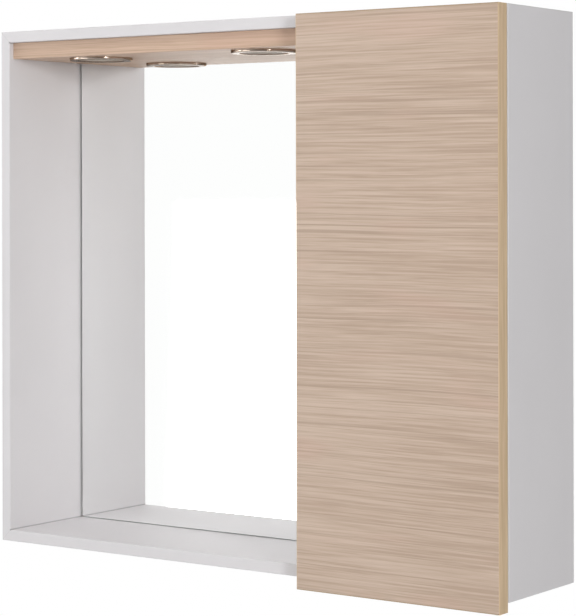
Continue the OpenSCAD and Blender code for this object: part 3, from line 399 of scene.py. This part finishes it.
FINISHES = {
    "case_grey": case_board("case_grey", (0.698, 0.680, 0.691)),
    "back_white": hardboard("back_white"),
    "dowel_beech": beech("dowel_beech"),
    "zinc_steel": plated("zinc_steel", (0.66, 0.67, 0.69), 0.28),
    "mirror_silver": silvered_glass("mirror_silver"),
    "tape_black": moulded("tape_black", (0.03, 0.03, 0.032), 0.9),
    "oak_decor": oak("oak_decor", (0.600, 0.476, 0.386), (0.540, 0.418, 0.332),
                     (0.462, 0.350, 0.270), (0.590, 0.410, 0.335)),
    "oak_band": oak("oak_band", (0.686, 0.528, 0.357), (0.645, 0.487, 0.319),
                    (0.580, 0.431, 0.277), (0.654, 0.479, 0.319),
                    along=(9.0, 220.0, 220.0), seed=3.0, upright=True),
    "oak_end_band": oak("oak_end_band", (0.686, 0.528, 0.357), (0.645, 0.487, 0.319),
                        (0.580, 0.431, 0.277), (0.654, 0.479, 0.319),
                        along=(9.0, 220.0, 220.0), seed=5.0, thin_edge=0.7,
                        all_round=True),
    # Painted light: the pelmet's oak is a warmer, lighter copy of the door's oak decor
    "pelmet_oak_painted_light": oak("pelmet_oak_painted_light", (0.662, 0.489, 0.376), (0.596, 0.429, 0.323),
                      (0.510, 0.359, 0.263), (0.638, 0.413, 0.317), seed=7.0,
                      all_round=True),
    "lamp_aluminium": plated("lamp_aluminium", (0.78, 0.78, 0.79), 0.35),
    "led_white": led_board("led_white"),
    "lens_frosted": frosted_lens("lens_frosted"),
    # Painted reflection: the ring's warm brown colour and brown specular tint paint the
    # reflection of the oak round it into the chrome
    "ring_chrome": plated("ring_chrome", (0.60, 0.50, 0.42), 0.10, bite=0.05,
                          Specular_Tint=(0.22, 0.17, 0.13, 1.0)),
    "lead_white": moulded("lead_white", (0.74, 0.74, 0.72), 0.35),
    "driver_white": moulded("driver_white", (0.72, 0.72, 0.70), 0.5),
    "terminal_black": moulded("terminal_black", (0.025, 0.025, 0.028), 0.5),
    "grommet_rubber": moulded("grommet_rubber", (0.02, 0.02, 0.021), 0.75),
    "hinge_nickel": plated("hinge_nickel", (0.70, 0.69, 0.66), 0.22),
    "bumper_clear": moulded("bumper_clear", (0.80, 0.84, 0.86), 0.25,
                            Transmission_Weight=0.7),
    "shelf_glass": shelf_glass("shelf_glass"),
}

# The grain of the bands on the door's ends runs across that of its side bands, and the
# pelmet wears a warmer, lighter copy of the door's oak, which is painted light on the pelmet
OWN_FINISH = {"door_end_bands": "oak_end_band", "pelmet_board": "pelmet_oak_painted_light",
              "pelmet_front_band": "pelmet_oak_painted_light"}

for part in frame["record"]["subparts"]:
    solid = frame["nodes"][part["node"]]
    finish = FINISHES[OWN_FINISH.get(part["node"], part["material_slot"])]
    if solid.data.materials:
        for index in range(len(solid.data.materials)):
            solid.data.materials[index] = finish
    else:
        solid.data.materials.append(finish)


# Lenses: a frosted disc in each lamp, turned about the lamp's own axis

def turned(name, centre, radii, heights, columns=96):
    """A turned piece: every point of a profile (radius, height) is carried round the upright
    axis through centre, x = cx + r cos t and y = cy + r sin t, and flat discs close its first
    and last rings."""
    rows = len(radii)
    t = np.linspace(0.0, 2.0 * np.pi, columns, endpoint=False)
    x = centre[0] + np.outer(radii, np.cos(t))
    y = centre[1] + np.outer(radii, np.sin(t))
    z = np.repeat(np.asarray(heights)[:, None], columns, axis=1)
    points = np.stack([x, y, z], axis=2).reshape(-1, 3)
    row, column = np.meshgrid(np.arange(rows - 1), np.arange(columns), indexing="ij")
    row, column = row.ravel(), column.ravel()
    after = (column + 1) % columns
    walls = np.stack([row * columns + column, row * columns + after,
                      (row + 1) * columns + after, (row + 1) * columns + column], axis=1)
    first = np.arange(columns)[::-1]
    last = (rows - 1) * columns + np.arange(columns)
    mesh = bpy.data.meshes.new(name)
    mesh.from_pydata(points.tolist(), [], [first.tolist(), last.tolist()] + walls.tolist())
    mesh.update()
    piece = bpy.data.objects.new(name, mesh)
    bpy.context.scene.collection.objects.link(piece)
    return piece


def pressed_lens(name, node):
    """A frosted lens in the place of its plain solid. Its face is pressed into round waves,
    z = z0 + d (0.5 + 0.5 cos(2 pi r / pitch)), and a step leads up to the rim under the
    ring."""
    low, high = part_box(node)
    centre = ((low[0] + high[0]) / 2, (low[1] + high[1]) / 2)
    rim = (high[0] - low[0]) / 2
    wave = np.linspace(LENS_MIDDLE, rim - LENS_FACE_INSET, 120)
    swing = np.cos(2.0 * np.pi * wave / LENS_RING_PITCH)
    pressed = low[2] + LENS_RING_DEPTH * (0.5 + 0.5 * swing)
    rim_foot = low[2] + LENS_STEP
    radii = np.concatenate([wave, [rim - LENS_STEP_INSET, rim, rim]])
    heights = np.concatenate([pressed, [rim_foot, rim_foot, high[2]]])
    lens_piece = turned(name, centre, radii, heights)
    lens_piece.data.materials.append(FINISHES["lens_frosted"])
    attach(lens_piece, "cabinet")
    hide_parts(node)
    return lens_piece


pressed_lens("left_pressed_lens", "left_spot_lens")
pressed_lens("right_pressed_lens", "right_spot_lens")


# Stage: a pale floor that keeps the object's shadow, and a white backdrop

# Greys of the room by their direction in degrees, 0 straight in front and 90 to the right
ROOM = ((-180.0, 1.0), (-33.0, 1.0), (-26.0, 0.55), (10.0, 0.30), (46.0, 0.10),
        (51.0, 1.0), (60.0, 1.0), (66.0, 0.45), (180.0, 0.45))


def switch(tree, operation, a, b):
    """One step of arithmetic in a backdrop's node tree."""
    node = tree.nodes.new("ShaderNodeMath")
    node.operation = operation
    for socket, value in zip(node.inputs, (a, b)):
        if isinstance(value, (int, float)):
            socket.default_value = value
        else:
            tree.links.new(value, socket)
    return node.outputs["Value"]


def seen_ray(tree):
    """1 for rays of the camera, also by way of gloss or clear glass, and 0 for rays that
    light a matt surface."""
    path = tree.nodes.new("ShaderNodeLightPath").outputs
    seen = switch(tree, "MAXIMUM", path["Is Camera Ray"], path["Is Glossy Ray"])
    seen = switch(tree, "MAXIMUM", seen, path["Is Transmission Ray"])
    lit = switch(tree, "LESS_THAN", path["Diffuse Depth"], 0.5)
    return switch(tree, "MULTIPLY", seen, lit)


def room_tone(tree, way):
    """The colour seen in the direction of a vector: white for the camera, and the grey of
    the table ROOM for gloss."""
    parts = tree.nodes.new("ShaderNodeSeparateXYZ")
    tree.links.new(way, parts.inputs["Vector"])
    ahead = switch(tree, "MULTIPLY", parts.outputs["Y"], -1.0)
    turn = switch(tree, "ARCTAN2", parts.outputs["X"], ahead)
    turn = switch(tree, "ADD", switch(tree, "DIVIDE", turn, 2.0 * math.pi), 0.5)
    room = tree.nodes.new("ShaderNodeValToRGB")
    stops = room.color_ramp.elements
    while len(stops) < len(ROOM):
        stops.new(0.5)
    for stop, (degrees, grey) in zip(stops, ROOM):
        stop.position = degrees / 360.0 + 0.5
        stop.color = (grey, grey, grey, 1.0)
    tree.links.new(turn, room.inputs["Fac"])

    path = tree.nodes.new("ShaderNodeLightPath").outputs
    by_gloss = tree.nodes.new("ShaderNodeMix")
    by_gloss.data_type = "RGBA"
    tree.links.new(path["Is Glossy Ray"], by_gloss.inputs["Factor"])
    by_gloss.inputs[6].default_value = BACKDROP_WHITE
    tree.links.new(room.outputs["Color"], by_gloss.inputs[7])
    return by_gloss.outputs[2]


def floor_plane():
    """A square floor well below the hung cabinet. It takes the shadow near the cabinet, and
    further out it fades into white paper for the camera and for gloss."""
    mesh = bpy.data.meshes.new("studio_floor")
    corners = [(x * FLOOR_HALF, y * FLOOR_HALF, FLOOR_HEIGHT)
               for x, y in ((-1, -1), (1, -1), (1, 1), (-1, 1))]
    mesh.from_pydata(corners, [], [(0, 1, 2, 3)])
    floor = bpy.data.objects.new("studio_floor", mesh)
    bpy.context.scene.collection.objects.link(floor)
    f = Finish("studio_floor", (0.90, 0.90, 0.90), 0.8)
    grain = f.noise(f.stretched((20.0, 20.0, 20.0)), detail=3.0)
    f.colour(f.ramp(grain, [(0.3, (0.895, 0.895, 0.895)), (0.7, (0.91, 0.91, 0.91))]))
    away = f.tree.nodes.new("ShaderNodeVectorMath")
    away.operation = "LENGTH"
    f.wire(f.coords.outputs["Object"], away.inputs[0])
    paper = f.spread(away.outputs["Value"], PAPER_FROM, PAPER_TO, PAPER_LEAST, 1.0)
    glow = f.tree.nodes.new("ShaderNodeEmission")
    f.wire(room_tone(f.tree, f.coords.outputs["Object"]), glow.inputs["Color"])
    share = f.maths("MULTIPLY", seen_ray(f.tree), paper)
    both = f.tree.nodes.new("ShaderNodeMixShader")
    f.wire(share, both.inputs["Fac"])
    f.wire(f.shader.outputs["BSDF"], both.inputs[1])
    f.wire(glow.outputs["Emission"], both.inputs[2])
    # From below the floor lets the view through, so that the undersides can be looked at
    side = f.tree.nodes.new("ShaderNodeNewGeometry")
    clear = f.tree.nodes.new("ShaderNodeBsdfTransparent")
    one_sided = f.tree.nodes.new("ShaderNodeMixShader")
    f.wire(side.outputs["Backfacing"], one_sided.inputs["Fac"])
    f.wire(both.outputs["Shader"], one_sided.inputs[1])
    f.wire(clear.outputs["BSDF"], one_sided.inputs[2])
    f.wire(one_sided.outputs["Shader"], f.tree.nodes["Material Output"].inputs["Surface"])
    mesh.materials.append(f.material)
    return floor


floor_plane()


def studio_world():
    """Plain light from all round. What the camera sees is white, and gloss sees the same
    white with the greys of ROOM."""
    world = bpy.data.worlds.new("studio")
    bpy.context.scene.world = world
    world.use_nodes = True
    sky = world.node_tree
    light_sky = sky.nodes["Background"]
    light_sky.inputs["Color"].default_value = (1.0, 1.0, 1.0, 1.0)
    light_sky.inputs["Strength"].default_value = WORLD_LIGHT

    way = sky.nodes.new("ShaderNodeTexCoord")
    seen_sky = sky.nodes.new("ShaderNodeBackground")
    sky.links.new(room_tone(sky, way.outputs["Generated"]), seen_sky.inputs["Color"])
    seen_sky.inputs["Strength"].default_value = 1.0
    choice = sky.nodes.new("ShaderNodeMixShader")
    sky.links.new(seen_ray(sky), choice.inputs["Fac"])
    sky.links.new(light_sky.outputs["Background"], choice.inputs[1])
    sky.links.new(seen_sky.outputs["Background"], choice.inputs[2])
    sky.links.new(choice.outputs["Shader"], sky.nodes["World Output"].inputs["Surface"])


studio_world()


def soft_lamp(name, place, aim, size, power):
    """A square area lamp that looks from place to aim."""
    data = bpy.data.lights.new(name, "AREA")
    data.shape = "SQUARE"
    data.size = size
    data.energy = power
    lamp = bpy.data.objects.new(name, data)
    bpy.context.scene.collection.objects.link(lamp)
    dx, dy, dz = (b - a for a, b in zip(place, aim))
    lamp.location = place
    lamp.rotation_euler = (math.atan2(math.hypot(dx, dy), -dz), 0.0, math.atan2(-dx, dy))
    return lamp


AIM = (0.0, -0.1, -0.3)
soft_lamp("left_lamp", (-3.55, -1.65, 0.53), AIM, 1.8, 44.0)
soft_lamp("right_lamp", (3.28, -2.22, 0.30), AIM, 0.8, 70.0)
soft_lamp("high_lamp", (0.30, -2.40, 3.20), AIM, 2.4, 77.0)
soft_lamp("low_lamp", (-1.60, -3.00, -1.00), AIM, 1.6, 19.0)


# Camera: the photograph's own view, fitted to the case as a box

LONG_SIDE_PIXELS = 616
FOCAL_PIXELS = 2180.7
HORIZON_PIXEL_ROW = 186.6
VIEW_TURN = math.radians(35.41)
VIEW_ROLL = math.radians(0.117)
SENSOR = 36.0

lens = bpy.data.cameras.new("photo_camera")
lens.sensor_width = SENSOR
lens.lens = FOCAL_PIXELS / LONG_SIDE_PIXELS * SENSOR
lens.shift_y = -(LONG_SIDE_PIXELS / 2 - HORIZON_PIXEL_ROW) / LONG_SIDE_PIXELS
camera = bpy.data.objects.new("photo_camera", lens)
bpy.context.scene.collection.objects.link(camera)
camera.location = (1.6650, -2.3829, -0.1736)
camera.rotation_euler = (math.radians(90.0), VIEW_ROLL, VIEW_TURN)
bpy.context.scene.camera = camera
bpy.context.scene.view_settings.view_transform = "Standard"
